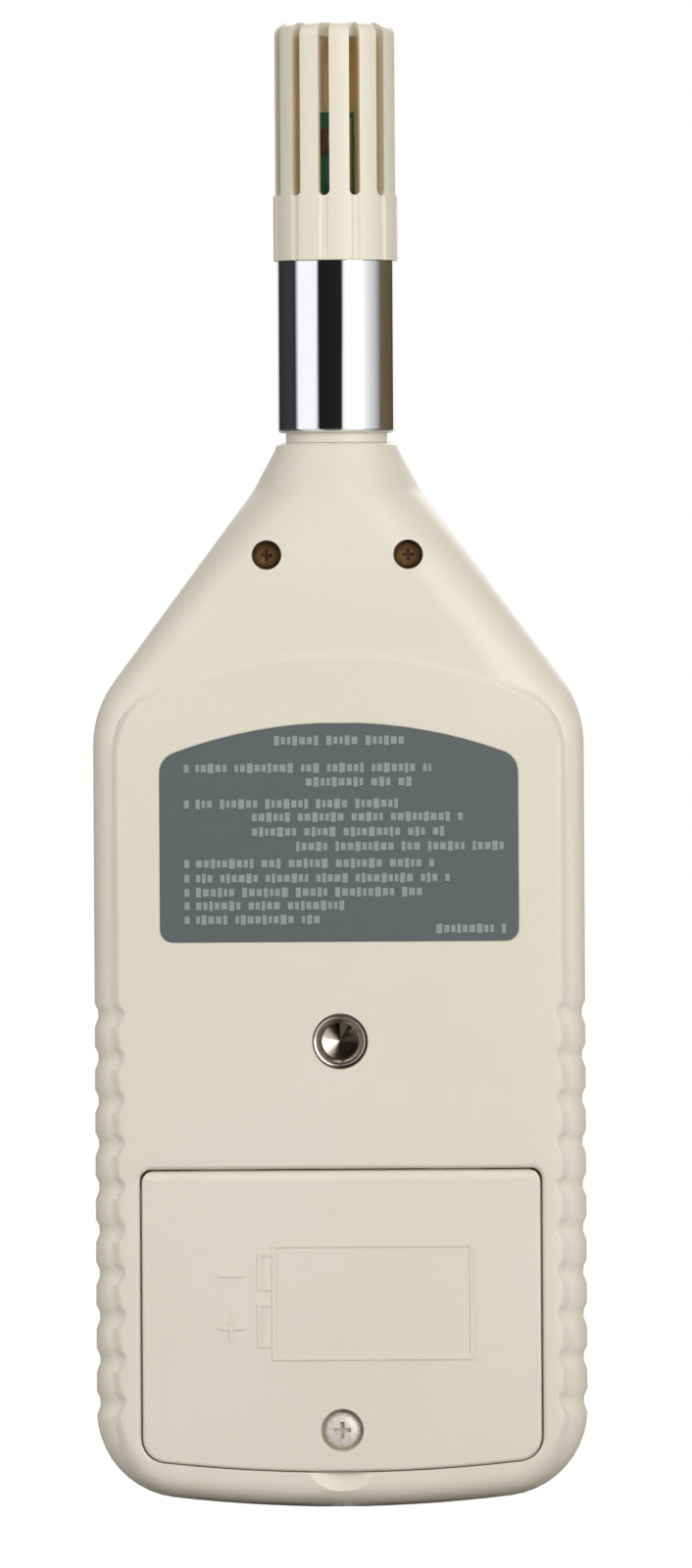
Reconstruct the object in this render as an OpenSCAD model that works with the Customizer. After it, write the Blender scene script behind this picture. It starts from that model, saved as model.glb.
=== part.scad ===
// Hand-held humidity meter: a slotted sensor cap on a chrome collar above a
// housing of two moulded halves, with a screwed battery door in its back.
// Millimetres. +Z runs up towards the sensor, the back faces -Y and the display
// faces +Y. The origin is the middle of the tripod bush's mouth, level with the
// raised back panel, and all heights are counted from there.

/* [Housing] */
// Width across the straight sides
body_w = 70; // [68:1:76]
// Depth from the raised back panel to the front face
body_d = 32; // [32:0.5:36]
// Thickness of the moulded walls
wall = 2; // [1.8:0.1:2.3]
// Height of the neck's top edge
neck_top = 85.5; // [84:0.5:92]
// Radius of the neck at its top edge
neck_r = 8.8; // [8.6:0.1:9.4]
// Rounding of the neck's top edge
neck_edge = 0.9; // [0.5:0.1:1]
// Height at which the neck's flank turns into the shoulder's slope
kink_z = 78.6; // [77:0.2:80]
// Half the housing's width at that height
kink_w = 12; // [11.6:0.1:13]
// Lean of the shoulder's slope from the vertical, in degrees
taper_angle = 36.4; // [34:0.2:40]
// Radius of the outline where the shoulder meets the side
shoulder_r = 15.4; // [12:0.5:18]
// Height of the lowest point of the foot, below the bush
foot_z = -66.4; // [-72:0.5:-66]
// Radius of the foot's long curve
foot_r = 200; // [150:10:260]
// Radius of the outline at the lower corners
corner_r = 12.5; // [11:0.5:14]
// Rounding of the long edges
edge_r = 4; // [3.5:0.25:5]
// Rounding of the edges on the shoulder
shoulder_edge_r = 9; // [8:0.5:9.5]
// How far the front half's lip stands into the back half at the seam
seam_lip = 1.2; // [1:0.1:1.6]

/* [Back panel] */
// Height that the panel stands proud of the back
panel_step = 0.8; // [0.6:0.1:1.2]
// Width of the rim between the panel and the housing's outline
panel_margin = 2.6; // [2.2:0.1:3.2]
// Height of the panel's arch at its middle
panel_top = 55.6; // [54:0.2:58]
// Radius of the panel's arch
panel_arch_r = 64.5; // [58:0.5:80]
// Radius of the panel's upper corners
panel_corner_r = 8.5; // [6:0.5:10]
// Width of the curve from the rim up to the panel
panel_edge = 1.6; // [1:0.1:2]
// Width of the rim at the foot, where the panel runs out into it
panel_low_margin = 0.4; // [0.3:0.1:1]
// Rounding of the panel's edge at the foot
panel_low_round = 3; // [2.5:0.1:3.5]

/* [Finger grips] */
// Grooves down each side
grip_count = 10; // [6:1:10]
// Height of the middle of the top groove
grip_top = 3.9; // [2:0.1:5]
// Distance from one groove to the next
grip_pitch = 6.15; // [5.8:0.05:6.3]
// Width of a groove
grip_w = 3.4; // [2.8:0.1:4.4]
// Depth of a groove
grip_depth = 0.55; // [0.3:0.05:0.7]
// How far a groove bites into the edge of the raised panel
grip_bite = 0.9; // [0.4:0.1:1.2]

/* [Rating label] */
// Width of the label
label_w = 51; // [46:1:56]
// Height of the label's lower edge
label_bottom = 14.25; // [12:0.25:18]
// Height of the label's arch at its middle
label_top = 45.4; // [42:0.2:47]
// Radius of the label's arch
label_arch_r = 68; // [60:1:90]
// Radius of the label's upper corners
label_corner_r = 3; // [1.5:0.5:4]
// Thickness of the label
label_t = 0.25; // [0.15:0.05:0.3]

/* [Battery door] */
// Width of the door
door_w = 56.8; // [56:0.2:58]
// Height of the door's upper edge
door_top = -18.3; // [-18.5:0.1:-17.5]
// Height of the door's lower edge at its middle
door_bottom = -61.3; // [-61.5:0.1:-61]
// Thickness of the door
door_t = 1.6; // [1.5:0.05:1.7]
// Gap between the door and the housing at its sides
door_gap = 0.25; // [0.2:0.05:0.4]
// Gap above and below the door
door_end_gap = 0.15; // [0.1:0.05:0.3]
// Rounding of the housing's edge round the door
door_flare = 0.7; // [0.4:0.1:0.9]
// Width of the ledge that the door lies on
door_ledge = 1.5; // [1.2:0.1:1.8]
// Distance of each hinge tab from the middle
tab_x = 16; // [12:1:20]
// Width of a hinge tab
tab_w = 8; // [6:0.5:10]
// Reach of a hinge tab behind the lip
tab_reach = 2.5; // [2:0.1:2.6]
// Radius of the finger notch where it meets the panel
notch_r = 5.2; // [4.5:0.1:5.6]
// Depth of the finger notch at its middle
notch_depth = 1.6; // [1.2:0.1:1.8]

/* [Battery] */
// Length of the battery's body
battery_l = 46.4; // [45:0.2:46.8]
// Width of the battery
battery_w = 26.5; // [25.5:0.1:26.6]
// Thickness of the battery
battery_t = 17.5; // [16.5:0.1:17.6]
// Thickness of the foam pad on the door
foam_t = 1.2; // [1:0.1:1.4]
// Radius of a battery lead
lead_r = 0.7; // [0.5:0.05:0.8]

/* [Fasteners] */
// Distance of each upper case screw from the middle
well_x = 10.1; // [9:0.1:10.4]
// Height of the upper case screws
well_z = 69.4; // [68:0.2:70]
// Radius of the wells that the upper case screws stand in
well_r = 2.125; // [2:0.025:2.4]
// Depth of the seat of the upper case screws
well_seat = 8; // [7:0.5:11]
// Length of the upper case screws' shanks
well_screw_len = 16; // [14:1:18]
// Distance of each lower case screw from the middle
low_screw_x = 20; // [17:0.5:20.5]
// Radius of a case screw's head
case_head_r = 1.9; // [1.7:0.05:1.95]
// Radius of a case screw's shank
case_shank_r = 1.1; // [1:0.05:1.2]
// Height of the door screw, and of the lower case screws
door_screw_z = -55.4; // [-55.8:0.1:-55.2]
// Radius of the door screw's head
door_head_r = 2.65; // [2.4:0.05:2.7]
// Radius of the door screw's shank
door_shank_r = 1.4; // [1.2:0.05:1.45]
// Depth that the door screw's tip reaches
door_tip = 6.2; // [5.8:0.1:6.5]

/* [Tripod bush] */
// Outer radius of the bush
bush_r = 3.93; // [3.8:0.01:4.1]
// Wall radius of the bush's threaded hole
bush_hole_r = 2.6; // [2.5:0.05:2.7]
// Length of the bush
bush_len = 9; // [8:0.5:10]

/* [Probe] */
// Outer radius of the chrome collar
collar_r = 8.37; // [8.2:0.01:8.5]
// Length of the chrome collar
collar_len = 24.5; // [22:0.5:28]
// Gap between the neck and the collar, where the stem shows
collar_gap = 1.5; // [1.2:0.1:2]
// Outer radius of the stem
stem_r = 7.25; // [7.1:0.05:7.3]
// Radius of the stem's tail in the neck
tail_r = 5.4; // [5:0.1:5.8]
// How far the stem stands above the collar
spigot_len = 7.5; // [6:0.5:8.5]

/* [Sensor cap] */
// Radius of the cap's lower band
band_r = 8.9; // [8.8:0.05:9.2]
// Height of the cap's lower band
band_h = 9.3; // [9:0.1:11]
// Radius of the slotted part
cap_r = 8.6; // [8.5:0.05:8.8]
// Length of the whole cap
cap_len = 34; // [32:0.5:38]
// Radius of the space inside the slotted part
cap_bore_r = 6.95; // [6.8:0.05:7.1]
// Thickness of the cap's top
cap_top_t = 2; // [1.6:0.1:2.4]
// Rounding of the cap's top edge
cap_edge = 1.8; // [1.4:0.1:1.9]
// Number of slots round the cap
slot_count = 12; // [10:1:14]
// Width of a slot
slot_w = 1.6; // [1.2:0.05:1.8]
// Turn of the slots about the cap's axis, in degrees
slot_turn = -10.7; // [-15:0.5:15]
// Depth of the flute below each slot
flute_depth = 0.25; // [0.15:0.05:0.35]

/* [Sensor board] */
// Width of the sensor board
sensor_w = 5.6; // [5:0.1:6]
// Thickness of the sensor board
sensor_t = 1; // [0.8:0.1:1.2]
// Length of the board that stands above the stem
sensor_out = 13.9; // [12:0.1:16]
// Length of the board inside the stem
sensor_in = 18; // [14:1:22]
// Radius of a sensor lead
wire_r = 0.5; // [0.4:0.05:0.6]

/* [Display and keys] */
// Width of the clear window
window_w = 54; // [50:1:56]
// Height of the clear window
window_h = 36; // [32:1:38]
// Thickness of the clear window
window_t = 1; // [0.8:0.1:1.1]
// Height of the window's middle
window_z = 27; // [25:0.5:28]
// Depth of the display and switch space between the board and the front wall
display_space = 4.4; // [4.3:0.1:4.6]
// Thickness of the main board
board_t = 1.6; // [1.2:0.1:1.7]
// Width of a long key
key_w = 14; // [12:0.5:14.5]
// Height of a long key
key_h = 8; // [7:0.5:9]
// Radius of the round key
key_power_r = 5; // [4.5:0.25:5.5]
// How far a key stands out of the front face
key_proud = 1.2; // [0.8:0.1:1.6]
// Travel of a key
key_travel = 0.8; // [0.5:0.05:0.8]
// Spacing of the keys across the front
key_pitch_x = 18; // [17:0.5:18.5]
// Height of the upper row of keys
key_row_z = -6; // [-8:0.5:-5]
// Spacing of the two rows of keys
key_pitch_z = 16; // [14:0.5:18]

/* [Hidden] */
$fn = 64;

// Colours of the real pieces
cream = [0.87, 0.85, 0.78];
cap_cream = [0.91, 0.89, 0.82];
metal = [0.78, 0.78, 0.8];
dark_metal = [0.25, 0.22, 0.2];
label_grey = [0.42, 0.44, 0.44];
board_green = [0.1, 0.36, 0.22];

// Clearances
slide_fit = 0.05;
close_gap = 0.1;
loose_gap = 0.3;
key_gap = 0.25;
tilt_room = 0.45;
cut = 1;

// Where the two halves meet, and the faces of each half
seam_y = body_d / 2;
back_depth = seam_y - panel_step;
front_depth = body_d - seam_y;
front_in = body_d - wall;
back_in = panel_step + wall;
side_x = body_w / 2;
slope_z = panel_top + 0.4;
back_steps = 6;
front_steps = 4;
cavity_steps = 2;

// The slope touches the shoulder's arc here
shoulder_cx = side_x - shoulder_r;
touch_x = shoulder_cx + shoulder_r * cos(taper_angle);
touch_z = kink_z - (touch_x - kink_w) / tan(taper_angle);
shoulder_cz = touch_z - shoulder_r * sin(taper_angle);

// The lower corner touches the foot's curve at foot_angle from the vertical
corner_cx = side_x - corner_r;
foot_angle = asin(corner_cx / (foot_r - corner_r));
foot_cz = foot_z + foot_r;
corner_cz = foot_cz - (foot_r - corner_r) * cos(foot_angle);

// Battery compartment, counted inwards from the door
box_wall = 1.4;
box_w = door_w / 2 - door_ledge + loose_gap + 0.4;
box_top = door_top + tab_reach + 0.5;
box_bottom = door_bottom - 0.3;
box_corner = 6.6;
battery_y = door_t + foam_t + loose_gap;
floor_y = battery_y + battery_t + close_gap;
floor_t = 1.2;
battery_left = -20.4;
battery_z = (door_top + door_screw_z) / 2 - 0.2;
post_r = 3.4;
lip_y = 2;

// Display stack, counted back from the front wall
board_front = front_in - display_space;
board_back = board_front - board_t;
board_half_w = side_x - 4.6;
board_bottom = -48;
board_top = slope_z + 2;
board_screws_at = [[board_half_w - 3.4, -40], [15, window_z + window_h / 2 + 5]];

// Probe, counted up from the neck
collar_z = neck_top + collar_gap;
collar_top = collar_z + collar_len;
stem_top = collar_top + spigot_len;
cap_z = collar_top + close_gap;
cap_top = cap_z + cap_len;
band_top = cap_z + band_h;
tail_z = kink_z - 6.5;
groove_z = kink_z + 0.5;
groove_h = 2;
groove_r = tail_r + 1.1;
sensor_bottom = stem_top - sensor_in;
sensor_top = stem_top + sensor_out;

function mix(a, b, t) = a + (b - a) * t;

// Points on an arc in the XZ plane, as [x, z, outward x, outward z]
function arc(cx, cz, r, from_angle, to_angle, n, first = 0) =
    [for (i = [first:n]) let (a = mix(from_angle, to_angle, i / n))
        [cx + r * cos(a), cz + r * sin(a), cos(a), sin(a)]];

// Right half of a plate's outline: arched or straight top and bottom, round corners
function plate_rows(w, top, top_r, top_corner, bottom, bottom_r, bottom_corner, top_n, bottom_n) =
    let (tx = w - top_corner,
        ta = asin(tx / (top_r - top_corner)),
        tz = top - top_r + (top_r - top_corner) * cos(ta),
        bx = w - bottom_corner,
        ba = asin(bx / (bottom_r - bottom_corner)),
        bz = bottom + bottom_r - (bottom_r - bottom_corner) * cos(ba))
    concat(
        [for (i = [1:top_n]) let (a = 90 - ta * i / top_n)
            [top_r * cos(a), top - top_r + top_r * sin(a), cos(a), sin(a)]],
        arc(tx, tz, top_corner, 90 - ta, 0, 6, 1),
        arc(bx, bz, bottom_corner, 0, ba - 90, 6),
        [for (i = [bottom_n - 1:-1:1]) let (a = ba * i / bottom_n - 90)
            [bottom_r * cos(a), bottom + bottom_r + bottom_r * sin(a), cos(a), sin(a)]]);

// Radius that stands for a straight edge
straight = 100000;

// Rows moved in by a distance, square to the outline
function inset_rows(rows, d) =
    [for (row = rows) [row[0] - d * row[2], row[1] - d * row[3], row[2], row[3]]];

// Rows and their mirror image as one closed outline
function outline(rows) = concat(
    [for (row = rows) [row[0], row[1]]],
    [for (i = [len(rows) - 1:-1:0]) [-rows[i][0], rows[i][1]]]);

// Right half of the housing's outline, from the neck to the foot
neck_rows = [for (a = [0:30:90])
    [neck_r - neck_edge * (1 - sin(a)), neck_top - neck_edge * (1 - cos(a)), 1, 0]];
neck_foot = [neck_r, neck_top - neck_edge];
kink = [kink_w, kink_z];
kink_bend = 1.3;
above_kink = kink + (neck_foot - kink) * kink_bend / norm(neck_foot - kink);
below_kink = kink + ([touch_x, touch_z] - kink) * kink_bend / norm([touch_x, touch_z] - kink);
flank_rows = concat(
    [for (t = [1 / 4, 1 / 2, 3 / 4]) let (at = mix(neck_foot, above_kink, t)) [at[0], at[1], 1, 0]],
    [for (t = [0:0.25:1]) let (at = mix(mix(above_kink, kink, t), mix(kink, below_kink, t), t))
        [at[0], at[1], 1, 0]]);
body_rows = concat(
    [for (i = [1:5]) let (a = taper_angle * min(1, i / 4))
        [mix(kink_w, touch_x, i / 6), mix(kink_z, touch_z, i / 6), cos(a), sin(a)]],
    arc(shoulder_cx, shoulder_cz, shoulder_r, taper_angle, 0, 8),
    arc(corner_cx, corner_cz, corner_r, 0, foot_angle - 90, 10),
    [for (i = [6:-1:1]) let (a = foot_angle * i / 7 - 90)
        [foot_r * cos(a), foot_cz + foot_r * sin(a), cos(a), sin(a)]]);

// Rows down the finger grips at a margin from the outline, with their share of the depth
// as a fifth value
grip_shape = [[0, 0], [0.28, 0.85], [0.6, 0.95], [1, 0]];
function grip_rows(margin) = [for (i = [0:grip_count - 1], g = grip_shape)
    let (z = grip_top - i * grip_pitch + (0.5 - g[0]) * grip_w,
        r = corner_r - margin,
        a = asin(min(0, z - corner_cz) / r))
    [corner_cx + r * cos(a), z, cos(a), sin(a), g[1]]];

// An outline's rows with those of the grips put in
function with_grips(rows, margin) =
    let (grips = grip_rows(margin), last = grips[len(grips) - 1])
    concat([for (row = rows) if (row[1] > grips[0][1] + 0.01) row], grips,
        [for (row = rows) if (row[3] < last[3] - 0.03) row]);

housing_rows = concat(neck_rows, flank_rows, with_grips(body_rows, 0));

// Distance of a face from the seam at a height: full below, bending in to the kink, then
// straight up the neck's cone
function face_depth(z, full) =
    let (bend = min(1, max(0, z - slope_z) / (kink_z - slope_z)),
        rise = min(1, max(0, z - kink_z) / (neck_foot[1] - kink_z)),
        e = max(0, z - neck_foot[1]))
    full - (full - kink_w) * bend ^ 2 - (kink_w - neck_r) * rise - neck_edge
        + sqrt(max(0, neck_edge ^ 2 - e ^ 2));

// Rounding of the housing's edge at a height, and on a row of its outline
function edge_at(z) = lookup(z, [[shoulder_cz, edge_r], [slope_z, shoulder_edge_r * 0.85],
    [kink_z - 6, shoulder_edge_r], [kink_z, kink_w - 0.3]]);
function edge_round(row) = min(row[0] - 0.3, edge_at(row[1]));

// Closed solid from the right-hand walls of its rows, each a list of points that rises
// along +Y from the base to the face, and their mirror image
module loft(side) {
    m = len(side[0]);
    last = len(side) - 1;
    points = [for (s = side) each concat(s, [for (p = s) [-p[0], p[1], p[2]]])];
    function right(i, k) = i * 2 * m + k;
    function left(i, k) = right(i, k) + m;
    walls = [for (i = [0:last - 1], k = [0:m - 2]) each [
        [right(i, k), right(i, k + 1), right(i + 1, k + 1)],
        [right(i, k), right(i + 1, k + 1), right(i + 1, k)],
        [left(i, k), left(i + 1, k + 1), left(i, k + 1)],
        [left(i, k), left(i + 1, k), left(i + 1, k + 1)]]];
    faces = [for (i = [0:last - 1]) each [
        [right(i, m - 1), left(i, m - 1), left(i + 1, m - 1), right(i + 1, m - 1)],
        [right(i, 0), right(i + 1, 0), left(i + 1, 0), left(i, 0)]]];
    ends = [for (k = [0:m - 2]) each [
        [left(0, k), left(0, k + 1), right(0, k + 1), right(0, k)],
        [left(last, k), right(last, k), right(last, k + 1), left(last, k + 1)]]];
    polyhedron(points, concat(walls, faces, ends));
}

// A loft whose wall rises from base and rounds over by radius(row) to the face at depth(z)
module pillow(rows, base, depth, radius, steps) {
    loft([for (row = rows) [for (k = [0:steps + 1])
        let (r = radius(row),
            a = 90 * max(0, k - 1) / steps,
            inset = r * (1 - cos(a)),
            z = row[1] - inset * row[3],
            scoop = len(row) > 4 ? row[4] * grip_depth * lookup(a, [[50, 1], [75, 0.6], [90, 0]]) : 0,
            sink = inset + scoop * cos(a))
        [row[0] - sink * row[2], k == 0 ? base : depth(z) - r + r * sin(a) - scoop * sin(a),
            row[1] - sink * row[3]]]]);
}

// A loft on the back face, from rows and the wall of each as pairs of inset and y
module back_loft(rows, wall_of) {
    back_half() loft([for (row = rows) [for (at = wall_of(row))
        [row[0] - at[0] * row[2], seam_y - at[1], row[1] - at[0] * row[3]]]]);
}

// Turns a solid that rises from the seam along +Y into its place on either half
module back_half() { translate([0, seam_y, 0]) mirror([0, 1, 0]) children(); }
module front_half() { translate([0, seam_y, 0]) children(); }

// A 2D shape in the XZ plane, as a solid from y0 to y1
module slab(y0, y1) { translate([0, y1, 0]) rotate([90, 0, 0]) linear_extrude(y1 - y0) children(); }

// A cylinder along Y, and one along X
module rod_y(x, z, y0, y1, r) {
    translate([x, y1, z]) rotate([90, 0, 0]) cylinder(h = y1 - y0, r = r);
}
module rod_x(y, z, x0, x1, r) {
    translate([x0, y, z]) rotate([0, 90, 0]) cylinder(h = x1 - x0, r = r);
}

// A box between two corners
module block(low, high) { translate(low) cube(high - low); }

module both_sides() {
    children();
    mirror([1, 0, 0]) children();
}

// A rectangle with true round corners, centred
module round_rect(w, h, r) {
    square([w - 2 * r, h], center = true);
    square([w, h - 2 * r], center = true);
    for (x = [-1, 1], y = [-1, 1])
        translate([x * (w / 2 - r), y * (h / 2 - r)]) circle(r, $fn = 32);
}

// Outer form of one half, and the space inside it
module half_solid(full, steps) {
    pillow(housing_rows, 0, function(z) face_depth(z, full), function(row) edge_round(row), steps);
}
module half_space(full) {
    pillow(inset_rows(body_rows, wall), -cut, function(z) face_depth(z, full) - wall,
        function(row) max(1.2, edge_round(row) - wall), cavity_steps);
}

// Ring just inside the outline, below the upper screws, for the seam's lip
module seam_ring(outer, inner, y0, y1) {
    slab(y0, y1) difference() {
        polygon(outline(inset_rows(body_rows, outer)));
        polygon(outline(inset_rows(body_rows, inner)));
        translate([-side_x, slope_z]) square([body_w, neck_top]);
    }
}

// Space of the stem's tail and its locking flange in the neck
module stem_space() {
    translate([0, seam_y, tail_z - cut]) cylinder(h = neck_top - tail_z + 2 * cut, r = tail_r + slide_fit);
    translate([0, seam_y, groove_z - close_gap])
        cylinder(h = groove_h + 2 * close_gap, r = groove_r + close_gap);
}

// Wall of the raised panel: an S from the rim up to the panel at the sides and the arch,
// turning into a plain rounding at the foot
function panel_wall(row) =
    let (low = min(1, max(0, -1.1 * row[3])) ^ 2,
        start = -0.3 * panel_edge,
        base = back_in - wall / 3,
        foot = rim_y(row, start) + 0.1 + (row[3] > 0 ? 0.3 * row[2] : 0),
        first = asin(1 - base / panel_low_round),
        bite = len(row) > 4 ? row[4] * grip_bite : 0,
        steps = 4)
    [for (k = [-1:steps]) let (t = max(0, k) / steps, a = mix(first, 90, t))
        [bite, 0] + mix([start + panel_edge * t, k < 0 ? base : foot * (1 - t * t * (3 - 2 * t))],
            [panel_low_margin - panel_margin + panel_low_round * (1 - cos(a)),
                k < 0 ? base : panel_low_round * (1 - sin(a)) - 0.04 * (1 - t)], low)];

// Depth of the housing's own surface under the panel's edge
function rim_y(row, inset) =
    let (x = row[0] - inset * row[2],
        z = row[1] - inset * row[3],
        r = edge_at(z),
        turn = atan2(z - shoulder_cz, x - shoulder_cx),
        s = row[3] <= 0 ? panel_margin + inset
            : x > shoulder_cx && turn > 0 && turn < taper_angle
            ? shoulder_r - norm([x - shoulder_cx, z - shoulder_cz])
            : min(side_x - x, (touch_x - x) * cos(taper_angle) + (touch_z - z) * sin(taper_angle)))
    panel_step + r - sqrt(r ^ 2 - max(0, r - s) ^ 2);

// The opening's upper corners are squarer than the door's, which leaves room for its swing
function door_rows(grow, ends) = plate_rows(door_w / 2 + grow, door_top + ends, straight, 1.8 - grow,
    door_bottom - ends, 222 + ends, 3.4 + ends, 1, 6);

// Wall of the door's opening, with a rounded mouth that fades out below the door
function opening_wall(row) =
    let (flare = door_flare * (1 - 0.85 * max(0, -row[3])))
    [for (at = [[0, door_t + 0.15], [0, flare], [-0.18 * flare, 0.5 * flare], [-0.5 * flare, 0.15 * flare],
        [-flare, -0.03], [-flare, -cut]]) at];

function box_rows(grow) = plate_rows(box_w + grow, box_top + grow, straight, 1 + grow,
    box_bottom - grow, 150 + grow, box_corner + grow, 1, 5);

// Walls, floor, battery ribs and screw post of the battery compartment
module battery_box() {
    difference() {
        slab(back_in - wall / 2, floor_y + floor_t) polygon(outline(box_rows(box_wall)));
        slab(0, floor_y) polygon(outline(box_rows(0)));
        battery_lead_notch();
        for (x = [-1, 1]) rod_y(x * low_screw_x, door_screw_z, floor_y - cut, floor_y + floor_t + cut,
            case_shank_r + loose_gap);
    }
    for (z = [battery_z + battery_w / 2 + loose_gap, battery_z - battery_w / 2 - loose_gap - 1.2])
        block([-14, floor_y - 11, z], [20, floor_y + floor_t / 2, z + 1.2]);
    rod_y(0, door_screw_z, door_t + 2, floor_y + floor_t / 2, post_r);
}

module battery_lead_notch() {
    block([-box_w, floor_y - 6, box_top - cut], [-box_w + 6, floor_y, box_top + box_wall + cut]);
}

module rear_shell() {
    color(cream) difference() {
        union() {
            difference() {
                back_half() half_solid(back_depth, back_steps);
                back_half() half_space(back_depth);
            }
            back_loft(with_grips(plate_rows(side_x - panel_margin, panel_top, panel_arch_r, panel_corner_r,
                foot_z + panel_margin, foot_r - panel_margin, corner_r - panel_margin, 8, 6), panel_margin),
                function(row) panel_wall(row));
            intersection() {
                for (x = [-1, 1]) rod_y(x * well_x, well_z, 0, seam_y, well_r + 1.4);
                back_half() half_solid(back_depth - wall / 4, back_steps);
            }
            rod_y(0, 0, wall, bush_len + 1.5, bush_r + 2);
            battery_box();
        }
        for (x = [-1, 1]) {
            rod_y(x * well_x, well_z, -cut, well_seat, well_r);
            rod_y(x * well_x, well_z, well_seat - 0.5, seam_y + cut, case_shank_r + loose_gap);
        }
        rod_y(0, 0, -cut, bush_len + close_gap, bush_r + slide_fit);
        slab(-cut, label_t - 0.1) polygon(outline(label_rows(close_gap)));
        back_loft(door_rows(door_gap, door_end_gap), function(row) opening_wall(row));
        slab(0, back_in + cut) polygon(outline(inset_rows(door_rows(0.3, 0.3), door_ledge)));
        block([-tab_x - tab_w, lip_y, door_top - 2 * tab_reach], [tab_x + tab_w, back_in + cut, box_top]);
        block([-door_w / 2 - door_gap, door_t, door_top - tab_reach],
            [door_w / 2 + door_gap, back_in + cut, door_top + door_gap]);
        rod_y(0, door_screw_z, 0, door_tip + 3, door_shank_r + tilt_room);
        finger_notch();
        stem_space();
        seam_ring(1, wall + 0.2, seam_y - seam_lip - close_gap, seam_y + cut);
    }
}

// Dish below the door that a fingernail goes into
module finger_notch() {
    ball_r = (notch_r ^ 2 + notch_depth ^ 2) / (2 * notch_depth);
    translate([0, notch_depth - ball_r, door_bottom + 2.1]) sphere(ball_r);
}

module front_shell() {
    color(cream) difference() {
        union() {
            difference() {
                front_half() half_solid(front_depth, front_steps);
                front_half() half_space(front_depth);
            }
            seam_ring(1.1, wall + 0.1, seam_y - seam_lip, seam_y + 2);
            intersection() {
                for (x = [-1, 1]) rod_y(x * well_x, well_z, seam_y, body_d, well_r + 1.2);
                front_half() half_solid(front_depth - wall / 4, front_steps);
            }
            for (x = [-1, 1]) {
                rod_y(x * low_screw_x, door_screw_z, floor_y + floor_t + close_gap, front_in + wall / 2,
                    case_shank_r + 1.6);
                for (at = board_screws_at)
                    rod_y(x * at[0], at[1], board_front + slide_fit, front_in + wall / 2, 2.2);
            }
        }
        for (x = [-1, 1]) {
            rod_y(x * well_x, well_z, seam_y - cut, well_seat + well_screw_len + 0.5,
                case_shank_r + slide_fit);
            rod_y(x * low_screw_x, door_screw_z, floor_y, front_in - 0.5, case_shank_r + slide_fit);
            for (at = board_screws_at)
                rod_y(x * at[0], at[1], board_front - cut, front_in - 0.4, 0.8 + slide_fit);
        }
        slab(body_d - window_t - slide_fit, body_d + cut) translate([0, window_z])
            round_rect(window_w + 2 * close_gap, window_h + 2 * close_gap, 3 + close_gap);
        slab(seam_y, body_d) translate([0, window_z]) round_rect(window_w - 4, window_h - 4, 2);
        for (key = keys) slab(front_in - cut, body_d + cut) key_shape(key, key_gap);
        stem_space();
    }
}

// Each key: middle x, middle z, and whether it is the round one
keys = [[-key_pitch_x / 2, key_row_z - key_pitch_z, true], [key_pitch_x / 2, key_row_z - key_pitch_z, false],
    [-key_pitch_x, key_row_z, false], [0, key_row_z, false], [key_pitch_x, key_row_z, false]];

module key_shape(key, grow) {
    translate([key[0], key[1]]) {
        if (key[2]) circle(key_power_r + grow);
        else round_rect(key_w + 2 * grow, key_h + 2 * grow, 2 + grow);
    }
}

// Key cap, its flange behind the wall, and the stem above its switch
module key_cap(i) {
    flange_front = front_in - close_gap;
    slab(flange_front - 0.6, body_d + key_proud - 0.5) key_shape(keys[i], 0);
    slab(body_d + key_proud - 0.8, body_d + key_proud) key_shape(keys[i], -0.4);
    slab(flange_front - 1, flange_front) key_shape(keys[i], key_gap + 0.8);
    rod_y(keys[i][0], keys[i][1], switch_top + key_travel + slide_fit, flange_front - 0.5, 1.6);
}

switch_top = board_front + 1.9;

module key_power() { color("firebrick") key_cap(0); }
module key_light() { color("dimgray") key_cap(1); }
module key_max_min() { color("dimgray") key_cap(2); }
module key_hold() { color("dimgray") key_cap(3); }
module key_unit() { color("dimgray") key_cap(4); }

module tact_switches() {
    for (key = keys) {
        color("black") slab(board_front, board_front + 1.5) translate([key[0], key[1]])
            square(6, center = true);
        color("gold") rod_y(key[0], key[1], board_front + 1.4, switch_top, 1.5);
    }
}

module battery_door() {
    color(cream) difference() {
        union() {
            back_half() pillow(door_rows(0, 0), seam_y - door_t, function(z) seam_y, function(row) 0.5, 3);
            rod_y(0, door_screw_z, door_t / 2, door_t + 1.5, door_head_r + 1.5);
            both_sides() {
                block([box_w - 3.4, door_t / 2, door_screw_z], [box_w - 2.2, door_t + 0.9, door_top - 6]);
                block([tab_x - tab_w / 2, door_t - 0.4, door_top - 3],
                    [tab_x + tab_w / 2, lip_y + 1.2, door_top]);
                block([tab_x - tab_w / 2, lip_y + close_gap, door_top - 0.5],
                    [tab_x + tab_w / 2, lip_y + 1.2, door_top + tab_reach]);
            }
            battery_mark();
        }
        rod_y(0, door_screw_z, -cut, door_head_t + 0.2, door_head_r + 0.4);
        rod_y(0, door_screw_z, -cut, door_tip, door_shank_r + 0.2);
        difference() {
            block([-door_w, -cut, door_top - door_t], [door_w, door_t, door_top + cut]);
            rod_x(door_t, door_top - door_t, -door_w - cut, door_w + cut, door_t);
        }
    }
}

// Low ridges on the door: a battery lying across it, its terminals and its poles
module battery_mark() {
    ridge = 0.5;
    slab(-0.15, door_t / 2) {
        difference() {
            translate([-9.9, -45.4]) square([28.7, 16.6]);
            translate([-9.9 + ridge, -45.4 + ridge]) square([28.7 - 2 * ridge, 16.6 - 2 * ridge]);
        }
        for (z = [[-35.4, 5.4], [-43.5, 6.3]]) difference() {
            translate([-12, z[0]]) square([2.2, z[1]]);
            translate([-12 + ridge, z[0] + ridge]) square([2.2 - ridge, z[1] - 2 * ridge]);
        }
        translate([-17.6, -33.5]) square([3.6, ridge]);
        translate([-17.6, -41]) square([3.6, ridge]);
        translate([-16.05, -42.55]) square([ridge, 3.6]);
    }
}

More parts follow.
